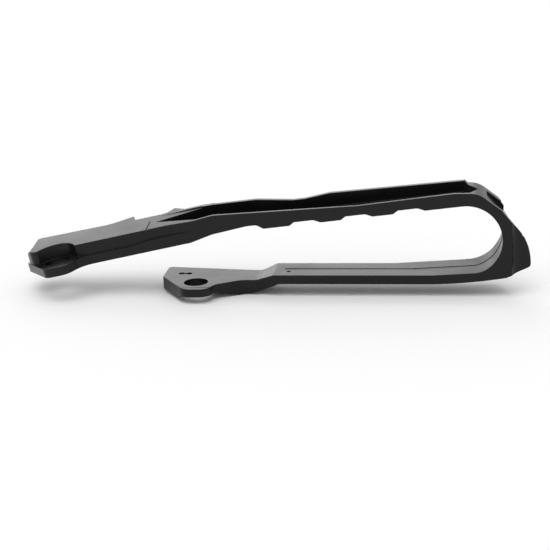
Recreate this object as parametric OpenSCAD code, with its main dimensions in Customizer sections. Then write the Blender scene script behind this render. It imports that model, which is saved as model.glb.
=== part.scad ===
// Chain slider for a motorcycle swingarm: one moulded hairpin that wraps the front of the
// swingarm. X runs forward to the nose, Z is up and Y runs across the arms.
// The outlines are drawn from the centre of the bend, with the pad's upper face at Z = 0,
// and the finished part is moved so that its lower screw hole stands on the origin.

/* [Hairpin] */
// Width across both arms
arm_w = 32; // [26:1:40]
// Inside radius of the bend
bend_r = 26.5; // [22:0.5:31]
// Thickness of the lower arm
pad_t = 7; // [5:0.5:9]
// Length of the pad, from the bend centre back to its rear end
pad_len = 145; // [125:5:165]
// Reach of the nose in front of the bend centre
nose_reach = 47.3; // [44:0.5:54]
// Thickness of the plastic above the bend
crown_t = 9.5; // [8:0.5:12]
// Slope of the front of the nose, in degrees
nose_slope = 51; // [46:1:54]
// Rise of the nose's underside, in degrees
chin_rise = 8.7; // [5:0.1:11]

/* [Nose and fin] */
// Distance in front of the bend centre at which the near face ends
near_fold = 33.5; // [31:0.5:36]
// Distance in front of the bend centre at which the far face ends
far_fold = 24; // [22:0.5:26]
// Inset of the fin from the near face
fin_inset = 4.5; // [3:0.5:6]
// Thickness of the fin
fin_t = 2.5; // [2:0.5:5]
// Width of the rim on the near side of the nose's pocket
near_rim_w = 4.5; // [3:0.5:9]
// Width of the rim on the far side of that pocket
far_rim_w = 7; // [5:0.5:9]
// Depth of that pocket at its rear end
nose_pocket_d = 0.8; // [0.4:0.1:1.6]

/* [Chain run] */
// Slope of the upper arm over the chain run, in degrees
run_slope = 6.3; // [4:0.1:8]
// Distance from the bend centre back to the rear body
run_len = 201; // [185:1:215]
// Thickness of the channel's floor
floor_t = 4.4; // [3.6:0.2:5.6]
// Thickness of the near wall
near_wall_t = 3; // [2:0.5:4.5]
// Thickness of the far wall
far_wall_t = 4.5; // [3:0.5:6]
// Height of the near wall at its front, from the underside
near_h_front = 9.5; // [8:0.5:12]
// Height of the near wall at its rear, from the underside
near_h_rear = 14.8; // [13:0.2:16]
// Height of the far wall at its front, from the underside
far_h_front = 12.6; // [11:0.2:14]
// Height of the far wall at its middle, from the underside
far_h_mid = 15; // [13.6:0.2:17]
// Height of the far wall at its dip, from the underside
far_h_dip = 12.8; // [11:0.2:13.6]
// Height of the far wall at its rear, from the underside
far_h_rear = 16.5; // [14:0.5:18]
// Number of scallops under the chain run
scallops = 3; // [1:1:3]
// Distance between scallops
scallop_pitch = 38.7; // [34:0.5:40]
// Length of a scallop
scallop_len = 23.5; // [16:0.5:28]
// Depth of a scallop
scallop_d = 2.4; // [1:0.2:2.6]

/* [Rear body] */
// Slope of the rear body, in degrees
rear_slope = 12; // [9:0.5:14]
// Height of the rear body's near top edge above the pad, at its front end
plate_h = 43.9; // [41:0.2:46]
// Sideways tilt of the plate on top, in degrees
plate_tilt = 6; // [0:0.5:8]
// Overall depth of the rear body
body_d = 16.6; // [15:0.2:20]
// Thickness of the flange along the rear body
flange_t = 7; // [5:0.5:8.5]
// Extra thickness of the flange along its front part
flange_step = 1.7; // [0:0.1:2.5]
// Width of the ledge that the flange leaves on the near side
ledge_w = 2.8; // [1:0.2:4]
// Distance along the rear body from its front end to its rear end
body_len = 142.5; // [138:0.5:147]
// Thickness of the plate
plate_t = 3.5; // [2.5:0.5:5]
// How far the plate's rear end stands out past the far side
plate_lip = 5.5; // [2:0.5:7]
// How far the plate's two ears stand out past the far side
ear_reach = 9.5; // [6:0.5:13]
// Thickness of the walls round the cells in the underside
core_wall = 3.5; // [2.5:0.5:5]
// Number of cells in the underside
core_cells = 3; // [2:1:5]

/* [Rear screw tab] */
// Distance from the rear body's rear end forward to the screw hole
rear_hole_gap = 26; // [24:0.5:30]
// Offset of the rear screw hole to the near side of the arm's middle
rear_hole_y = 12; // [10:0.5:14]
// Diameter of the rear screw hole
rear_hole_d = 20; // [14:0.5:21]
// Radius of the scoop that clears the screw's head
scoop_r = 18.5; // [17:0.5:21]
// Offset of that scoop's centre from the screw hole to the near side
scoop_y = 8.3; // [7:0.1:12]
// Width of plastic in front of the rear screw hole
rear_rim = 10.3; // [7:0.1:13]
// Distance from the hole to the bevelled corner of the rear tab
rear_corner = 15.8; // [14.6:0.2:18]

/* [Lower screw tab] */
// Distance from the pad's rear end back to the lower screw hole
lower_hole_gap = 59; // [56:1:66]
// Offset of the lower screw hole to the near side of the arm's middle
lower_hole_y = 17.5; // [14:0.5:20]
// Diameter of the lower screw hole
lower_hole_d = 18.4; // [12:0.2:22]
// Width of plastic in front of the lower screw hole
lower_rim = 9.2; // [7:0.1:12]
// Distance from the hole to the bevelled corner of the lower tab
lower_corner = 15.8; // [14:0.2:18]
// Distance from the hole to the tab's rear end
lower_tail = 28.5; // [26:0.5:34]
// Drop from the pad's upper face to the tab's upper face
tab_drop = 4.8; // [3:0.2:6]
// Thickness of the lower tab at its screw hole
tab_t = 6.4; // [5:0.2:8]
// Extra thickness of the lower tab behind that hole
foot_d = 3; // [1:0.2:4]
// Width of the neck between the tab and the pad
neck_w = 25; // [20:0.5:30]
// Extra depth of the belly under the neck
belly_d = 5.1; // [1.5:0.1:6]

/* [Pad details] */
// Slope of the pad's upper face where it nears the bend, in degrees
ramp_slope = 3.2; // [0.5:0.1:4]
// Sideways lean of that slope, in degrees
ramp_lean = 2.9; // [0.5:0.1:4]
// Width of the shallow groove along the pad
groove_w = 5.9; // [3:0.1:8]
// Depth of that groove
groove_d = 0.3; // [0.2:0.1:1.5]
// Offset of the groove to the near side of the arm's middle
groove_y = 1.1; // [0:0.1:3]

/* [Hidden] */
$fn = 96;
overlap = 0.5;
far_out = 400;
half_w = arm_w / 2;

// Side outline of the nose and its underside
chin_start = 3;
chin_r_run = 27;
fin_rise = 23;
chin_end = 29.5;
fin_corner_r = 3.5;
brow_x = 26;
brow_z = 49.2;
brow_r = 10;
crown_slope = 37.5;
crown_r = 18;
crown_lean = 1.8;
crown_skin = 3;
crown_z = 2 * bend_r + crown_t;
crown_x = brow_x - (crown_z - brow_z) / tan(crown_slope);
chin_z = tan(chin_rise) * (chin_end + chin_start) - pad_t;
fin_foot_z = chin_z + tan(fin_rise) * (nose_reach - chin_end);
fin_top_z = brow_z - tan(nose_slope) * (nose_reach - brow_x);
fin_straight = 0.5;
fin_corner_run = fin_corner_r * tan((90 - fin_rise) / 2);
fin_bow_r = (fin_top_z - fin_foot_z - fin_corner_run - fin_straight) / tan((90 - nose_slope) / 2);

// Nose seen from above
fin_fillet_r = 8.4;
fin_fillet_run = 2.4;
fin_y = -half_w + fin_inset;
front_near = [near_fold - 0.5, -5];
front_mid = [near_fold - 3, 4];

// Pocket in the nose's upper face
pocket_x = 14.3;
pocket_slope = 46.5;
pocket_z = brow_z + tan(crown_slope) * (brow_x - pocket_x) - nose_pocket_d;

// Rise of the pad towards the bend, the curve at the bend's foot and the lean of its lower half
ramp_z = 1.4;
ramp_from = 38;
ramp_to = 10;
bend_lean = 5.9;
sweep_r = 20;
sweep_steps = 5;
sweep_in = bend_r - sweep_r;
sweep_fall = bend_r - ramp_z - sweep_r / cos(ramp_slope);
sweep_root = sqrt(pow(sweep_in, 2) - pow(sweep_fall * cos(ramp_slope), 2));
sweep_x = (sweep_fall * sin(ramp_slope) + sweep_root) * cos(ramp_slope);
sweep_z = bend_r - sweep_fall + tan(ramp_slope) * sweep_x;
sweep_end = atan2(sweep_x, bend_r - sweep_z);
sweep_front = 0.72 * bend_r;
sweep_top = bend_r / 3;

// Places along the chain run, measured back from the bend centre
near_level = 9;
near_kink = 79;
near_end = run_len - 12;
far_end = 1;
far_kink = run_len - 98;
far_dip = run_len - 79;
far_dip_end = run_len - 70;
far_rise = run_len - 41;
channel_front = 8.5;
channel_far_corner = 1.5;
channel_near_corner = -2.7;
first_scallop = 41.8;
scallop_ramp_rear = 3.5;
scallop_ramp_front = 5.5;
heel_front = run_len - 50.5;
heel_level = run_len - 37.5;
heel_rear = run_len - 11;
heel_foot_u = 10;
heel_d = 3.4;

// Rear body, in its own sloped frame
flange_step_u = 41;
flange_step_run = 14;
channel_rear_u = 35;
channel_rear_far_u = 8;
channel_rear_near_u = 2;
channel_rear_d = 8;
blend_front_u = 9;
blend_start_u = 6;
blend_inset = 0.1;
blend_rear_u = 24;
seam_u = 40.5;
seam_w = 1;
seam_d = 0.7;
seam_end_y = 11;
core_front_u = 14;
core_deep_u = 42;
core_rib = 3;
tail_reach = 3;
tail_round = 4;
horn_y = -9.5;
horn_corner_r = 8;
plate_end_u = body_len - tail_round;

// Ears on the plate's far edge, as places along the rear body and shares of their reach
ear_root_u = 76;
ear_tip_u = 58.8;
ear_foot_u = 55.5;
tooth_root_u = 30;
tooth_tip_u = 24.5;
tooth_back_u = 19;
tooth_foot_u = 12;
ear_root_share = 0.45;
tooth_share = 0.85;
tooth_back_share = 0.4;

// Screw tabs
foot_gap = 1.5;
belly_gap = 5;
tab_bevel = 54.5;
lower_bevel = 56;
tab_corner_r = 9;
tab_neck_r = 14;
lobe_corner = 0.6;
lower_lobe_side = 0.82;
lower_lobe_len = 12;
step_run = 2.6 * tab_drop;
neck_run = 2 * tab_drop;
belly_front = 0.7;
rear_hole = [rear_hole_gap - body_len, -rear_hole_y];
lower_hole = [-pad_len - lower_hole_gap, -lower_hole_y];
core_rear_gap = 6;
core_rear_u = body_len - rear_hole_gap - scoop_r - core_rear_gap;
near_face = -half_w + ledge_w;

// Slot, slit and pip moulded into the lower arm
slot_at = [-12.2, 21.7];
slot_span = 6;
slot_end_d = 4.4;
slot_waist = 2;
slot_d = 4;
slit_at = [11.8, 1.3];
slit_len = 8;
slit_w = 1.2;
pip_at = [11, -5.8];
pip_d = 2.8;
pip_depth = 3;

// Height of the underside of the chain run at a distance x back from the bend centre
function run_z(x) = bend_r + bend_r / cos(run_slope) - tan(run_slope) * x;

// Unit vector from a to b
function toward(a, b) = (b - a) / norm(b - a);

// Point a little past b on the line from a
function past(a, b) = b + 0.3 * (b - a);

// Arc that rounds corner b between the corners a and c, with radius r
function round_corner(a, b, c, r) =
    let (
        u = toward(b, a),
        v = toward(b, c),
        half = acos(u * v) / 2,
        centre = b + (u + v) / norm(u + v) * r / sin(half),
        start = b + u * r / tan(half) - centre,
        turn = (180 - 2 * half) * sign(u[1] * v[0] - u[0] * v[1]),
        steps = max(6, ceil(abs(turn) / 6))
    )
    [for (i = [0:steps]) let (t = turn * i / steps) centre + [
        start[0] * cos(t) - start[1] * sin(t),
        start[0] * sin(t) + start[1] * cos(t)]];

// Outline through corners given as [x, y] or [x, y, radius]
function rounded(corners) =
    let (n = len(corners), flat = [for (c = corners) [c[0], c[1]]])
    [for (i = [0:n - 1])
        each len(corners[i]) < 3
            ? [flat[i]]
            : round_corner(flat[(i + n - 1) % n], flat[i], flat[(i + 1) % n], corners[i][2])];

// Extrudes an outline drawn in X and Z from y0 to y1
module across(y0, y1) {
    translate([0, y1, 0])
        rotate([90, 0, 0])
            linear_extrude(y1 - y0)
                children();
}

// Extrudes an outline drawn in X and Y from z0 to z1
module upright(z0, z1) {
    translate([0, 0, z0])
        linear_extrude(z1 - z0)
            children();
}

// Moves the rear body's own frame to its place: U runs along the slope, W stands off the plate
module rear_frame() {
    translate([-run_len, 0, plate_h])
        rotate([0, -rear_slope, 0])
            children();
}

// Block large enough to stand for the half of space above Z = 0
module half_space() {
    translate([-far_out, -far_out, 0])
        cube([2 * far_out, 2 * far_out, far_out]);
}

// Side position of a point given along and off the rear body
function rear_point(u, w) =
    [-run_len, plate_h]
    + u * [cos(rear_slope), sin(rear_slope)]
    + w * [-sin(rear_slope), cos(rear_slope)];

// Upper half of a disc on the bend's centre
module upper_disc(r) {
    difference() {
        translate([0, bend_r])
            circle(r);
        translate([-far_out, bend_r - far_out])
            square([2 * far_out, far_out]);
    }
}

// Space between the arms above the bend's middle, with everything behind the pad
module opening_outline() {
    upper_disc(bend_r);
    polygon([
        [0, bend_r],
        [0, 0],
        [-pad_len, 0],
        [-pad_len, -far_out],
        [-far_out, -far_out],
        [-far_out, run_z(far_out)],
        [-bend_r * sin(run_slope), bend_r + bend_r * cos(run_slope)]]);
}

// Leans its children by the bend's lean, about a point beside the near end of its axis
module lean_forward() {
    translate([0, -half_w - 1, bend_r])
        rotate([bend_lean, 0, 0])
            children();
}

// Lower half of the bend's inside, which leans so that its far end stands higher
module bend_cut(r) {
    intersection() {
        lean_forward()
            rotate([-90, 0, 0])
                cylinder(r = r, h = 4 * arm_w, center = true);
        lean_forward()
            mirror([0, 0, 1])
                half_space();
        translate([-overlap, -far_out, -far_out])
            cube(2 * far_out);
    }
}

// Space below the pad's ramp and below the facets that lead it into the bend, let down by drop
module under_ramp(drop) {
    for (i = [0:sweep_steps - 1]) {
        slope = ramp_slope + (sweep_end - ramp_slope) * i / sweep_steps;
        lean = ramp_lean + (bend_lean - ramp_lean) * i / sweep_steps;
        translate([sweep_x + sweep_r * sin(slope), -half_w, sweep_z - sweep_r * cos(slope) - drop])
            rotate([atan(tan(lean) * cos(slope)), -slope, 0])
                mirror([0, 0, 1])
                    half_space();
    }
}

// Side outline of the hairpin, closed by the top edge of one wall
module hairpin_outline(wall_top) {
    difference() {
        polygon(rounded(concat(
            [
                [-run_len, -pad_t],
                [-chin_start, -pad_t, chin_r_run / tan(chin_rise / 2)],
                [chin_end, chin_z, 4],
                [nose_reach, fin_foot_z, fin_corner_r],
                [nose_reach, fin_top_z, fin_bow_r],
                [brow_x, brow_z, brow_r]
            ],
            wall_top)));
        opening_outline();
    }
}

// Nose seen from above, square across its front with a fin at the near side
module nose_plan() {
    polygon(rounded([
        [-far_out, -2 * half_w],
        [near_fold, -2 * half_w],
        [near_fold, -half_w],
        [near_fold + fin_fillet_run, fin_y, fin_fillet_r],
        [nose_reach + 1, fin_y],
        [nose_reach + 1, fin_y + fin_t],
        [front_near[0] + 1, fin_y + fin_t, 1],
        [front_near[0], front_near[1]],
        [front_mid[0], front_mid[1], 10],
        [far_fold, half_w],
        [far_fold, 2 * half_w],
        [-far_out, 2 * half_w]]));
}

// Skin on the nose's upper face that rises towards the far side
module crown_rise() {
    intersection() {
        translate([0, -half_w + 1, crown_z])
            rotate([crown_lean, 0, 0])
                translate([0, 0, -crown_z])
                    across(0, arm_w)
                        polygon(rounded([
                            [0, crown_z],
                            [crown_x, crown_z, crown_r],
                            [brow_x, brow_z],
                            [brow_x - crown_skin, brow_z - crown_skin],
                            [0, crown_z - crown_skin]]));
        across(-half_w, half_w)
            square([brow_x, crown_z + crown_skin]);
    }
}

// Hairpin built in two widths, each with the top edge of its own wall
module hairpin() {
    split_y = half_w - far_rim_w;
    near_top = [
        [crown_x, crown_z, crown_r],
        [-near_level, crown_z],
        [-near_kink, run_z(near_kink) + near_h_front],
        [-near_end, run_z(near_end) + near_h_rear],
        [-run_len, plate_h]];
    far_top = [
        [crown_x, crown_z, crown_r],
        [-far_end + 3, crown_z],
        [-far_end, run_z(far_end) + far_h_front],
        [-far_kink, run_z(far_kink) + far_h_mid, 12],
        [-far_dip, run_z(far_dip) + far_h_dip, 12],
        [-far_dip_end, run_z(far_dip_end) + far_h_dip, 20],
        [-far_rise, run_z(far_rise) + far_h_rear, 30],
        [-run_len, run_z(run_len) + far_h_rear]];
    difference() {
        intersection() {
            union() {
                across(-half_w, split_y)
                    hairpin_outline(near_top);
                across(split_y, half_w)
                    hairpin_outline(far_top);
                crown_rise();
            }
            upright(-far_out, far_out)
                nose_plan();
        }
        bend_cut(bend_r);
    }
    intersection() {
        translate([-pad_len + overlap, -half_w, -pad_t / 2])
            cube([pad_len + sweep_front, arm_w, pad_t / 2 + sweep_top]);
        under_ramp(0);
    }
}

// Point at a depth d above the underside of the chain run
function under_run(x, d) = [-x, run_z(x) + d];

// Scallops cut across the underside of the chain run
module scallop_cuts() {
    for (i = [0:scallops - 1]) {
        front = first_scallop + i * scallop_pitch - scallop_len / 2;
        rear = front + scallop_len;
        deep_front = under_run(front + scallop_ramp_front, scallop_d);
        deep_rear = under_run(rear - scallop_ramp_rear, scallop_d);
        across(-far_out, far_out)
            polygon(rounded([
                past(deep_front, under_run(front, 0)),
                [deep_front[0], deep_front[1], 5],
                [deep_rear[0], deep_rear[1], 2],
                past(deep_rear, under_run(rear, 0))]));
    }
}

// Long ramp from the last scallop down to the foot of the rear body
module heel_cut() {
    deep = under_run(heel_front + scallop_ramp_front, heel_d);
    level = under_run(heel_level, heel_d);
    rear = under_run(heel_rear, 0);
    foot = rear_point(-heel_foot_u, -body_d - 0.2);
    across(-far_out, far_out)
        polygon(rounded([
            past(deep, under_run(heel_front, 0)),
            [deep[0], deep[1], 6],
            [level[0], level[1], 12],
            [rear[0], rear[1], 20],
            [foot[0], foot[1]],
            [foot[0], foot[1] - 1]]));
}

// Chain channel, pointed at both ends
module channel_cut() {
    near_y = -half_w + near_wall_t;
    far_y = half_w - far_wall_t;
    intersection() {
        upright(0, far_out)
            polygon([
                [channel_front, 0],
                [-channel_far_corner, far_y],
                [-run_len + channel_rear_far_u, far_y],
                [-run_len - channel_rear_u, 0],
                [-run_len - channel_rear_near_u, near_y],
                [-channel_near_corner, near_y]]);
        union() {
            across(-half_w, half_w)
                polygon([
                    [channel_front + 1, run_z(-channel_front - 1) + floor_t],
                    [channel_front + 1, far_out],
                    [-run_len - 14, far_out],
                    [-run_len - 14, run_z(run_len + 14) + floor_t]]);
            rear_frame()
                across(-half_w, half_w)
                    polygon([
                        [0, -channel_rear_d],
                        [0, far_out],
                        [-channel_rear_u - 10, far_out],
                        [-channel_rear_u - 10, -channel_rear_d]]);
        }
    }
}

// Point where a tab's bevel meets the line Y = y
function bevel_at_y(hole, reach, bevel, y) =
    [hole[0] - reach * sin(bevel) + (hole[1] - reach * cos(bevel) - y) / tan(bevel), y];

// Point where a tab's bevel meets the line X = x
function bevel_at_x(hole, reach, bevel, x) =
    [x, hole[1] - reach * cos(bevel) - (x - hole[0] + reach * sin(bevel)) * tan(bevel)];

// Tilts its children sideways with the plate's top, inside the rear frame
module plate_slope() {
    translate([0, near_face, 0])
        rotate([plate_tilt, 0, 0])
            children();
}

// Rear tab and flange seen square to their face
module rear_tab_plan() {
    lobe_r = rear_hole_d / 2 + rear_rim;
    front_y = rear_hole[1] - lobe_r;
    bevel_front = bevel_at_y(rear_hole, rear_corner, tab_bevel, front_y);
    polygon(rounded([
        [blend_front_u, half_w - overlap],
        [blend_front_u, -half_w],
        [rear_hole[0] + lobe_r, -half_w, tab_neck_r],
        [rear_hole[0] + lobe_r * lobe_corner, front_y, tab_corner_r],
        [bevel_front[0], bevel_front[1], tab_corner_r],
        bevel_at_x(rear_hole, rear_corner, tab_bevel, -body_len - tail_reach),
        [-body_len - tail_reach, half_w - overlap]]));
}

// Flange and screw tab along the foot of the rear body
module rear_flange() {
    base = -body_d;
    intersection() {
        upright(base, 0)
            rear_tab_plan();
        across(-far_out, far_out)
            polygon([
                [2 * blend_front_u, base - 1],
                [2 * blend_front_u, base + flange_t + flange_step],
                [-flange_step_u, base + flange_t + flange_step],
                [-flange_step_u - flange_step_run, base + flange_t],
                [-far_out, base + flange_t],
                [-far_out, base - 1]]);
    }
}

// Rear body seen from above
module rear_body_plan() {
    horn_end = bevel_at_y(rear_hole, rear_corner - 1, tab_bevel, horn_y);
    polygon(rounded([
        [blend_front_u, half_w],
        [blend_front_u, -half_w + blend_inset],
        [-blend_start_u, -half_w + blend_inset, 20],
        [-blend_rear_u, near_face, 20],
        [rear_hole[0], near_face],
        [rear_hole[0], horn_y],
        [horn_end[0], horn_y, horn_corner_r],
        bevel_at_x(rear_hole, rear_corner - 1, tab_bevel, -body_len),
        [-body_len, half_w]]));
}

// Lip and ears of the plate, seen from above
module lip_plan() {
    root_y = half_w + plate_lip * ear_root_share;
    polygon(rounded([
        [-blend_front_u, half_w - plate_lip],
        [-plate_end_u - 1, half_w - plate_lip],
        [-plate_end_u - 1, half_w + plate_lip, 4],
        [-ear_root_u, root_y, 30],
        [-ear_tip_u, half_w + ear_reach],
        [-ear_foot_u, half_w],
        [-tooth_root_u, half_w, 6],
        [-tooth_tip_u, half_w + ear_reach * tooth_share],
        [-tooth_back_u, half_w + ear_reach * tooth_back_share, 4],
        [-tooth_foot_u, half_w - 1]]));
}

// Side outline that rounds the rear body's tail
module tail_outline() {
    polygon(rounded([
        [-body_len, -body_d - 1],
        [-body_len, -1, 3.5],
        [-plate_end_u, 0.6, 1.5],
        [-plate_end_u, body_d],
        [2 * blend_front_u, body_d],
        [2 * blend_front_u, -body_d - 1]]));
}

// Far wall of the channel where it runs down on to the plate
module far_wall_tail() {
    plate_far = plate_h + tan(plate_tilt) * (half_w - near_face);
    top = run_z(run_len) + far_h_rear;
    fall = tan(rear_slope);
    across(half_w - far_wall_t, half_w)
        polygon([
            [-run_len + overlap, plate_h - body_d / 2],
            [-run_len + overlap, top],
            [-run_len - channel_rear_far_u, top - fall * channel_rear_far_u],
            [-run_len - channel_rear_u, plate_far - fall * channel_rear_u - overlap],
            [-run_len - channel_rear_u, plate_h - body_d / 2 - fall * channel_rear_u]]);
}

// Rear body with its flange and plate, before its holes
module rear_body() {
    rear_frame() {
        rear_flange();
        intersection() {
            across(-far_out, far_out)
                tail_outline();
            union() {
                upright(-body_d, body_d)
                    rear_body_plan();
                intersection() {
                    upright(-body_d, body_d)
                        lip_plan();
                    plate_slope()
                        translate([0, 0, -plate_t])
                            half_space();
                }
            }
            plate_slope()
                translate([0, 0, -far_out])
                    half_space();
        }
    }
    far_wall_tail();
}

// Screw hole of the rear tab, with the scoop that clears the screw's head
module rear_hole_cut() {
    rear_frame()
        translate(rear_hole) {
            translate([0, 0, -body_d - 1])
                cylinder(d = rear_hole_d, h = flange_t + 2);
            translate([0, -scoop_y, flange_t - body_d])
                cylinder(r = scoop_r, h = 2 * body_d);
        }
}

// Cells that core out the underside of the rear body
module core_cuts() {
    span = core_rear_u - core_front_u + core_rib;
    rear_frame()
        intersection() {
            across(near_face + core_wall, half_w - core_wall)
                polygon([
                    [0, -body_d - 1],
                    [0, -channel_rear_d - floor_t],
                    [-core_deep_u, -channel_rear_d - floor_t],
                    [-core_deep_u, -plate_t],
                    [-far_out, -plate_t],
                    [-far_out, -body_d - 1]]);
            for (i = [0:core_cells - 1])
                translate([-core_front_u - (i + 1) * span / core_cells + core_rib, -half_w, -2 * body_d])
                    cube([span / core_cells - core_rib, arm_w, 2 * body_d]);
        }
}

// Thin seam across the plate
module seam_cut() {
    rear_frame()
        plate_slope()
            translate([-seam_u - seam_w, -1, -seam_d])
                cube([seam_w, half_w - near_face - seam_end_y, body_d]);
}

// Lower tab seen from above, out to where it joins the pad
module lower_tab_plan() {
    lobe_r = lower_hole_d / 2 + lower_rim;
    front_y = lower_hole[1] - lobe_r;
    tail_x = lower_hole[0] - lower_tail;
    bevel_front = bevel_at_y(lower_hole, lower_corner, lower_bevel, front_y);
    polygon(rounded([
        [-pad_len + tab_t, -half_w],
        [-pad_len + tab_t, half_w],
        [-pad_len - 1, half_w],
        [-pad_len - neck_run, neck_w / 2, 4],
        [tail_x, half_w + 6, 3],
        bevel_at_x(lower_hole, lower_corner, lower_bevel, tail_x),
        [bevel_front[0], bevel_front[1], tab_corner_r],
        [lower_hole[0] + lobe_r * lobe_corner, front_y, tab_corner_r],
        [lower_hole[0] + lobe_r * lower_lobe_side, front_y + lower_lobe_len, 8],
        [-pad_len - neck_w, -neck_w / 2, tab_neck_r],
        [-pad_len - neck_run, -neck_w / 2, 4],
        [-pad_len - 1, -half_w]]));
}

// Lower tab seen from the side, with the step up to the pad and the belly under the neck
module lower_tab_outline() {
    base = -tab_drop - tab_t;
    tail_x = lower_hole[0] - lower_tail;
    hole_rear = lower_hole[0] - lower_hole_d / 2 - 0.5;
    polygon(rounded([
        [-pad_len + tab_t, 0],
        [-pad_len, 0, 2],
        [-pad_len - step_run, -tab_drop, 16],
        [tail_x - 1, -tab_drop],
        [tail_x - 1, base - foot_d - 0.4],
        [hole_rear - foot_gap, base - foot_d, 1],
        [hole_rear, base, 1],
        [lower_hole[0] + lower_hole_d / 2 + belly_gap, base, 10],
        [-pad_len - neck_w - 2, base - belly_d, 8],
        [-pad_len - neck_w / 2 - 1, base - belly_d * belly_front, 20],
        [-pad_len + 4, -pad_t, 10],
        [-pad_len + tab_t, -pad_t]]));
}

// Lower tab, before its holes
module lower_tab() {
    intersection() {
        across(-far_out, far_out)
            lower_tab_outline();
        upright(-far_out, far_out)
            lower_tab_plan();
    }
}

// Screw hole of the lower tab and the waisted slot behind it
module lower_tab_cuts() {
    translate([lower_hole[0], lower_hole[1], -2 * tab_t])
        cylinder(d = lower_hole_d, h = 2 * tab_t);
    translate([lower_hole[0] + slot_at[0], lower_hole[1] + slot_at[1], -tab_drop - slot_d]) {
        for (side = [-1, 1])
            translate([side * slot_span / 2, 0, 0])
                cylinder(d = slot_end_d, h = 2 * slot_d);
        translate([-slot_span / 2, -slot_waist / 2, 0])
            cube([slot_span, slot_waist, 2 * slot_d]);
    }
}

// Shallow groove along the pad and round the bend, with the slit and pip at its start
module pad_cuts() {
    start = -pad_len + slit_at[0] - slit_len / 2;
    side = -groove_y - groove_w / 2;
    translate([start, side, -groove_d])
        cube([-start - ramp_from, groove_w, 2 * groove_d]);
    difference() {
        union() {
            translate([-ramp_from - 1, side, -groove_d])
                cube([ramp_from + 1 + ramp_to, groove_w, bend_r / 2]);
            intersection() {
                translate([ramp_to - 1, side, 0])
                    cube([bend_r, groove_w, crown_z]);
                union() {
                    bend_cut(bend_r + groove_d);
                    across(-half_w, half_w)
                        upper_disc(bend_r + groove_d);
                }
            }
        }
        under_ramp(groove_d);
    }
    translate([start, slit_at[1] - slit_w / 2, -pip_depth])
        cube([slit_len, slit_w, 2 * pip_depth]);
    translate([-pad_len + pip_at[0], pip_at[1], -pip_depth])
        cylinder(d = pip_d, h = 2 * pip_depth);
}

// Shallow pocket in the nose's upper face
module nose_pocket_cut() {
    translate([pocket_x, -half_w + near_rim_w, pocket_z])
        rotate([0, pocket_slope, 0])
            cube([nose_reach, arm_w - near_rim_w - far_rim_w, bend_r]);
}

// The slider in one piece, drawn from the centre of the bend
module slider_from_bend() {
    difference() {
        union() {
            hairpin();
            rear_body();
            lower_tab();
        }
        scallop_cuts();
        heel_cut();
        channel_cut();
        nose_pocket_cut();
        rear_hole_cut();
        core_cuts();
        seam_cut();
        lower_tab_cuts();
        pad_cuts();
    }
}

module slider() {
    color([0.06, 0.06, 0.065])
        translate([-lower_hole[0], -lower_hole[1], tab_drop + tab_t])
            slider_from_bend();
}

slider();
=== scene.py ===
"""Looks for the chain slider: black moulded plastic on a white studio floor."""

import math

import bmesh
import bpy
from mathutils import Matrix, Vector


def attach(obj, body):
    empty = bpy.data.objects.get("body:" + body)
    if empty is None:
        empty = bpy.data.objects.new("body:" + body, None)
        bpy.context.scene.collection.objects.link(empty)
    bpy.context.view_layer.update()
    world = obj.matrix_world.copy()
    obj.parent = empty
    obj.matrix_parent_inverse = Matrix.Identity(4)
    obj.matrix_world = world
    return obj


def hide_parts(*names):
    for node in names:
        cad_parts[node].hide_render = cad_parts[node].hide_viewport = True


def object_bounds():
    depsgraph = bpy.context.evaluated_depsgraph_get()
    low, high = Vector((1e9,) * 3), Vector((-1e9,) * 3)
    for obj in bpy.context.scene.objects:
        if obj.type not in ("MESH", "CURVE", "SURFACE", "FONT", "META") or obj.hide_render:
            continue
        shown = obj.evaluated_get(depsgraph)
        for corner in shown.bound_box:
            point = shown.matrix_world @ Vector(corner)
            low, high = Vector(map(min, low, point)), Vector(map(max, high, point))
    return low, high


MM = 0.001

# Camera: its place and axes in the part's frame, its lens and its clipping in metres
CAMERA_AT = (203.62 * MM, -997.5 * MM, 329.82 * MM)
CAMERA_RIGHT = (0.990846, 0.128802, -0.040419)
CAMERA_DOWN = (0.000579, -0.303460, -0.952844)
CAMERA_AHEAD = (-0.134994, 0.944098, -0.300757)
CAMERA_LENS = 91.636
CLIP_NEAR, CLIP_FAR = 0.05, 50

# Mesh: points that are joined, faces that are joined, and faces that are cut up
WELD = 0.01 * MM
FLAT_ANGLE = math.radians(0.6)
NARROW = 1.2 * MM
QUAD = 4

# Edges: which folds are rounded, and how much
EDGE_ANGLE = math.radians(24)
EDGE_RADIUS = 0.3 * MM
EDGE_STEPS = 2
# Room beside an edge, in radii, from which it takes the full rounding
EDGE_ROOM = 2.5
# Share of the rounding under which an edge stays sharp
EDGE_LEAST = 0.7
# Length of an edge, in widths of its face, from which it runs along the face
ALONG = 1.5

# Plastic
TONE_DARK = (0.004, 0.004, 0.0043, 1)
TONE_LIGHT = (0.006, 0.006, 0.0064, 1)
ROUGHNESS = (0.24, 0.31)
PLASTIC_IOR = 1.32
CLOUD_SCALE, CLOUD_DETAIL, CLOUD_ROUGHNESS = 42.0, 4.0, 0.6
CLOUD_FROM, CLOUD_TO = 0.3, 0.7
GRAIN_SCALE, GRAIN_DETAIL, GRAIN_ROUGHNESS = 2600.0, 2.0, 0.5
GRAIN_STRENGTH = 0.25
GRAIN_DEPTH = 0.02 * MM

# Sky: strengths at the horizon and from the height SKY_FROM up
HORIZON, SKY = 1.0, 0.6
SKY_FROM = 0.5
WHITE = (1, 1, 1, 1)
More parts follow.
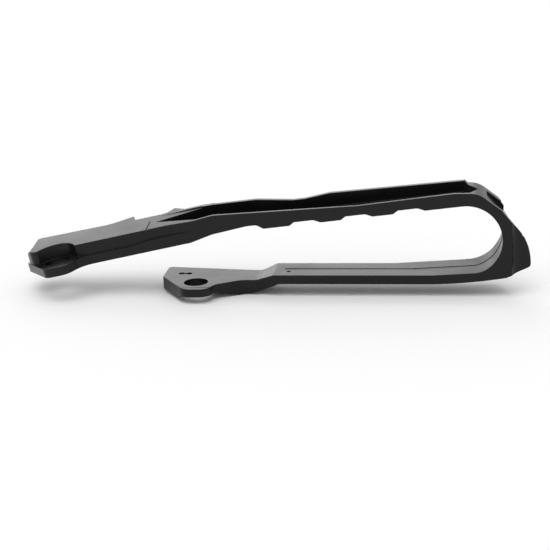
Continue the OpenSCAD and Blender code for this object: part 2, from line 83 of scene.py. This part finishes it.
# Soft patches: direction, the cosines between which they rise, and strength
TOP_TOWARDS = (-0.1, -0.25, 0.963)
TOP_FROM, TOP_TO = 0.81, 0.961
TOP = 1.8
GLOW_TOWARDS = (-0.2477, 0.864, 0.4384)
GLOW_FROM, GLOW_TO = 0.875, 0.965
GLOW = 1.22

# Floor: colour, gap under the part, and half its side in metres
FLOOR_WHITE = (0.93, 0.93, 0.93, 1)
FLOOR_DROP = 0.4 * MM
FLOOR_HALF = 60


def add_node(tree, kind, **values):
    """New shader node with its settings and its unlinked inputs."""
    node = tree.nodes.new(kind)
    for key, value in values.items():
        if key in node.inputs:
            node.inputs[key].default_value = value
        else:
            setattr(node, key, value)
    return node


def map_range(tree, value, span, result, **settings):
    """Value mapped from one range to another."""
    node = add_node(tree, "ShaderNodeMapRange", **settings)
    node.inputs["From Min"].default_value, node.inputs["From Max"].default_value = span
    node.inputs["To Min"].default_value, node.inputs["To Max"].default_value = result
    tree.links.new(value, node.inputs["Value"])
    return node.outputs["Result"]


def new_material(name):
    """Empty node material, its tree and its output node."""
    material = bpy.data.materials.new(name)
    material.use_nodes = True
    tree = material.node_tree
    tree.nodes.clear()
    return material, tree, tree.nodes.new("ShaderNodeOutputMaterial")


def slider_plastic():
    """Black plastic with the fine grain and slightly uneven gloss of a moulded part."""
    material, tree, output = new_material("slider_plastic")
    link = tree.links.new
    place = add_node(tree, "ShaderNodeTexCoord")
    cloud = add_node(tree, "ShaderNodeTexNoise", Scale=CLOUD_SCALE,
                     Detail=CLOUD_DETAIL, Roughness=CLOUD_ROUGHNESS)
    grain = add_node(tree, "ShaderNodeTexNoise", Scale=GRAIN_SCALE,
                     Detail=GRAIN_DETAIL, Roughness=GRAIN_ROUGHNESS)
    link(place.outputs["Object"], cloud.inputs["Vector"])
    link(place.outputs["Object"], grain.inputs["Vector"])
    gloss = map_range(tree, cloud.outputs["Fac"], (CLOUD_FROM, CLOUD_TO), ROUGHNESS)
    tone = add_node(tree, "ShaderNodeValToRGB")
    dark, light = tone.color_ramp.elements
    dark.color, dark.position = TONE_DARK, CLOUD_FROM
    light.color, light.position = TONE_LIGHT, CLOUD_TO
    link(cloud.outputs["Fac"], tone.inputs["Fac"])
    bump = add_node(tree, "ShaderNodeBump", Strength=GRAIN_STRENGTH, Distance=GRAIN_DEPTH)
    link(grain.outputs["Fac"], bump.inputs["Height"])
    shader = add_node(tree, "ShaderNodeBsdfPrincipled", IOR=PLASTIC_IOR)
    link(tone.outputs["Color"], shader.inputs["Base Color"])
    link(gloss, shader.inputs["Roughness"])
    link(bump.outputs["Normal"], shader.inputs["Normal"])
    link(shader.outputs["BSDF"], output.inputs["Surface"])
    return material


def floor_material():
    """Plain white floor."""
    material, tree, output = new_material("floor")
    shader = add_node(tree, "ShaderNodeBsdfDiffuse", Color=FLOOR_WHITE)
    tree.links.new(shader.outputs["BSDF"], output.inputs["Surface"])
    return material


def mean_width(face):
    """Width of a long narrow face."""
    return 2 * face.calc_area() / face.calc_perimeter()


def face_room(face, line):
    """About how far a face reaches from one of its edges."""
    width = mean_width(face)
    length = line.calc_length()
    return width if length > ALONG * width else face.calc_area() / length


def edge_share(line):
    """Share of the full rounding that an edge takes: less beside a narrow face, then none."""
    room = min(face_room(face, line) for face in line.link_faces)
    share = room / (EDGE_ROOM * EDGE_RADIUS)
    return min(1.0, share) if share > EDGE_LEAST else 0.0


def rounded_copy(node, name):
    """Copy of the CAD solid with its edges rounded as a mould leaves them."""
    mesh = node.data.copy()
    mesh.name = name
    mesh.materials.clear()
    form = bmesh.new()
    form.from_mesh(mesh)
    bmesh.ops.remove_doubles(form, verts=form.verts, dist=WELD)
    bmesh.ops.dissolve_limit(form, angle_limit=FLAT_ANGLE, verts=form.verts, edges=form.edges)
    bmesh.ops.recalc_face_normals(form, faces=form.faces)
    narrow = [face for face in form.faces
              if len(face.verts) > QUAD and mean_width(face) < NARROW]
    bmesh.ops.triangulate(form, faces=narrow)
    for face in form.faces:
        face.smooth = True
    share = form.edges.layers.float.new("bevel_weight_edge")
    for line in form.edges:
        if len(line.link_faces) == 2 and line.calc_face_angle() > EDGE_ANGLE:
            line[share] = edge_share(line)
            line.smooth = line[share] > 0
    form.to_mesh(mesh)
    form.free()
    piece = bpy.data.objects.new(name, mesh)
    bpy.context.scene.collection.objects.link(piece)
    edge = piece.modifiers.new("edge", "BEVEL")
    edge.width = EDGE_RADIUS
    edge.segments = EDGE_STEPS
    edge.limit_method = "WEIGHT"
    edge.use_clamp_overlap = False
    edge.miter_outer = "MITER_SHARP"
    normals = piece.modifiers.new("normals", "WEIGHTED_NORMAL")
    normals.keep_sharp = True
    return piece


def add_floor():
    """Plain floor under the lowest point of the part."""
    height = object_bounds()[0][2] - FLOOR_DROP
    mesh = bpy.data.meshes.new("floor")
    corners = [(x * FLOOR_HALF, y * FLOOR_HALF, height)
               for x, y in ((-1, -1), (1, -1), (1, 1), (-1, 1))]
    mesh.from_pydata(corners, [], [(0, 1, 2, 3)])
    mesh.materials.append(floor_material())
    floor = bpy.data.objects.new("floor", mesh)
    bpy.context.scene.collection.objects.link(floor)


def soft_patch(tree, place, towards, span, strength):
    """Strength of a soft light patch of the sky round one direction."""
    side = add_node(tree, "ShaderNodeVectorMath", operation="DOT_PRODUCT")
    side.inputs[1].default_value = towards
    tree.links.new(place, side.inputs[0])
    return map_range(tree, side.outputs["Value"], span, (0, strength),
                     interpolation_type="SMOOTHSTEP")


def add(tree, one, other):
    """Sum of two values."""
    node = add_node(tree, "ShaderNodeMath", operation="ADD")
    tree.links.new(one, node.inputs[0])
    tree.links.new(other, node.inputs[1])
    return node.outputs["Value"]


def add_sky():
    """White surroundings with a soft light overhead and one behind the part."""
    world = bpy.data.worlds.new("studio")
    bpy.context.scene.world = world
    world.use_nodes = True
    tree = world.node_tree
    tree.nodes.clear()
    place = add_node(tree, "ShaderNodeTexCoord").outputs["Generated"]
    height = add_node(tree, "ShaderNodeSeparateXYZ")
    tree.links.new(place, height.inputs["Vector"])
    dome = map_range(tree, height.outputs["Z"], (0, SKY_FROM), (HORIZON, SKY))
    top = soft_patch(tree, place, TOP_TOWARDS, (TOP_FROM, TOP_TO), TOP)
    glow = soft_patch(tree, place, GLOW_TOWARDS, (GLOW_FROM, GLOW_TO), GLOW)
    sky = add_node(tree, "ShaderNodeBackground", Color=WHITE)
    tree.links.new(add(tree, add(tree, dome, top), glow), sky.inputs["Strength"])
    output = tree.nodes.new("ShaderNodeOutputWorld")
    tree.links.new(sky.outputs["Background"], output.inputs["Surface"])


def add_camera():
    """Camera at the place the photograph was taken from."""
    data = bpy.data.cameras.new("camera")
    data.lens = CAMERA_LENS
    data.clip_start = CLIP_NEAR
    data.clip_end = CLIP_FAR
    camera = bpy.data.objects.new("camera", data)
    bpy.context.scene.collection.objects.link(camera)
    axes = (Vector(CAMERA_RIGHT), -Vector(CAMERA_DOWN), -Vector(CAMERA_AHEAD))
    turn = Matrix(axes).transposed().to_4x4()
    camera.matrix_world = Matrix.Translation(CAMERA_AT) @ turn
    bpy.context.scene.camera = camera


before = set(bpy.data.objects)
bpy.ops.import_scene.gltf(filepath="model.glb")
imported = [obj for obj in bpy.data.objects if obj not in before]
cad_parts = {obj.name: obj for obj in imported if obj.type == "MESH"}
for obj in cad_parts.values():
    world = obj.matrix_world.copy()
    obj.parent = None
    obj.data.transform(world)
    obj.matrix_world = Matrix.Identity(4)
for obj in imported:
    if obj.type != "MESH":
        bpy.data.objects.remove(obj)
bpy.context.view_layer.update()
plastic = slider_plastic()
body = rounded_copy(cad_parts["slider"], "slider_body")
body.data.materials.append(plastic)
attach(body, "root")
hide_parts("slider")
add_floor()
add_sky()
add_camera()
bpy.context.scene.view_settings.view_transform = "Standard"
